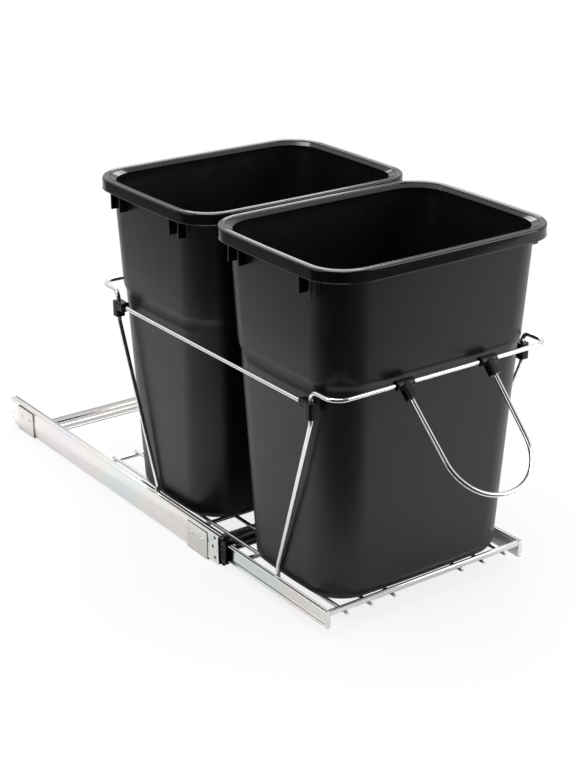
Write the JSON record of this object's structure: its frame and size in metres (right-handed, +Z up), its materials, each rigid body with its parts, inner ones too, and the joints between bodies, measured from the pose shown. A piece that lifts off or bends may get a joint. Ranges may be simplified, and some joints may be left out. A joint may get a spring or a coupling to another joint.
{
  "type": "pull out trash cabinet",
  "caption": "Pull-out waste unit for a base cabinet: tapered black bins in a chrome wire frame with a hinged pull, on telescopic ball-bearing slides.",
  "frame": {"origin": "underside of the front cross member, at its middle, where it lies on the cabinet floor", "axes": "+Z up, -Y to the front where the handle is, +X to the right seen from the front"},
  "size_m": [0.366, 0.9772, 0.4857],
  "materials": {
    "bin_plastic": "moulded black polypropylene, satin",
    "clip_plastic": "moulded black nylon, semi-matte",
    "chrome_wire": "bright chrome plating",
    "zinc_steel": "bright zinc plating, faintly iridescent",
    "cage_steel": "zinc-plated cage with polished balls"
  },
  "bodies": {
    "base": {"front_cross_member": "zinc_steel", "front_left_rivet_1": "zinc_steel", "front_left_rivet_2": "zinc_steel", "front_right_rivet_1": "zinc_steel", "front_right_rivet_2": "zinc_steel", "left_cabinet_rail": "zinc_steel", "left_rail_stop": "clip_plastic", "rear_cross_member": "zinc_steel", "rear_left_rivet_1": "zinc_steel", "rear_left_rivet_2": "zinc_steel", "rear_right_rivet_1": "zinc_steel", "rear_right_rivet_2": "zinc_steel", "right_cabinet_rail": "zinc_steel", "right_rail_stop": "clip_plastic"},
    "left_intermediate": {"left_intermediate_rail": "zinc_steel", "left_end_bumper": "clip_plastic"},
    "right_intermediate": {"right_intermediate_rail": "zinc_steel", "right_end_bumper": "clip_plastic"},
    "left_outer_cage": {"left_outer_ball_cage": "cage_steel"},
    "right_outer_cage": {"right_outer_ball_cage": "cage_steel"},
    "left_inner_cage": {"left_inner_ball_cage": "cage_steel"},
    "right_inner_cage": {"right_inner_ball_cage": "cage_steel"},
    "frame": {"cross_rod_1": "chrome_wire", "cross_rod_2": "chrome_wire", "cross_rod_3": "chrome_wire", "floor_rod_1": "chrome_wire", "floor_rod_2": "chrome_wire", "floor_rod_3": "chrome_wire", "floor_rod_4": "chrome_wire", "floor_rod_5": "chrome_wire", "floor_rod_6": "chrome_wire", "front_bar": "chrome_wire", "front_hoop": "chrome_wire", "front_left_clip": "clip_plastic", "front_right_clip": "clip_plastic", "left_drawer_rail": "zinc_steel", "left_release_lever": "clip_plastic", "left_side_rod": "chrome_wire", "rear_hoop": "chrome_wire", "rear_left_clip": "clip_plastic", "rear_right_clip": "clip_plastic", "right_drawer_rail": "zinc_steel", "right_release_lever": "clip_plastic", "right_side_rod": "chrome_wire"},
    "handle": {"handle_wire": "chrome_wire", "left_handle_clip": "clip_plastic", "right_handle_clip": "clip_plastic"},
    "front_bin": {"front_bin": "bin_plastic"},
    "rear_bin": {"rear_bin": "bin_plastic"}
  },
  "joints": [
    {"name": "left_first_stage", "type": "slide", "parent": "base", "child": "left_intermediate", "axis": [0, -1, 0], "range_m": [-0.013, 0.287]},
    {"name": "right_first_stage", "type": "slide", "parent": "base", "child": "right_intermediate", "axis": [0, -1, 0], "range_m": [-0.013, 0.287]},
    {"name": "second_stage", "type": "slide", "parent": "left_intermediate", "child": "frame", "axis": [0, -1, 0], "range_m": [-0.221, 0.079]},
    {"name": "left_outer_cage_roll", "type": "slide", "parent": "base", "child": "left_outer_cage", "axis": [0, -1, 0], "range_m": [-0.0065, 0.1435]},
    {"name": "right_outer_cage_roll", "type": "slide", "parent": "base", "child": "right_outer_cage", "axis": [0, -1, 0], "range_m": [-0.0065, 0.1435]},
    {"name": "left_inner_cage_roll", "type": "slide", "parent": "left_intermediate", "child": "left_inner_cage", "axis": [0, -1, 0], "range_m": [-0.1105, 0.0395]},
    {"name": "right_inner_cage_roll", "type": "slide", "parent": "right_intermediate", "child": "right_inner_cage", "axis": [0, -1, 0], "range_m": [-0.1105, 0.0395]},
    {"name": "handle_swing", "type": "hinge", "parent": "frame", "child": "handle", "pos_m": [0, -0.3038, 0.327], "axis": [-1, 0, 0], "range_deg": [-48, 120]},
    {"name": "front_bin_lift", "type": "slide", "parent": "frame", "child": "front_bin", "axis": [0, 0, 1], "range_m": [0, 0.46]},
    {"name": "rear_bin_lift", "type": "slide", "parent": "frame", "child": "rear_bin", "axis": [0, 0, 1], "range_m": [0, 0.46]}
  ],
  "couplings": [
    {"joint": "right_first_stage", "follows": "left_first_stage", "ratio": 1},
    {"joint": "left_outer_cage_roll", "follows": "left_first_stage", "ratio": 0.5},
    {"joint": "right_outer_cage_roll", "follows": "left_first_stage", "ratio": 0.5},
    {"joint": "left_inner_cage_roll", "follows": "second_stage", "ratio": 0.5},
    {"joint": "right_inner_cage_roll", "follows": "second_stage", "ratio": 0.5}
  ]
}
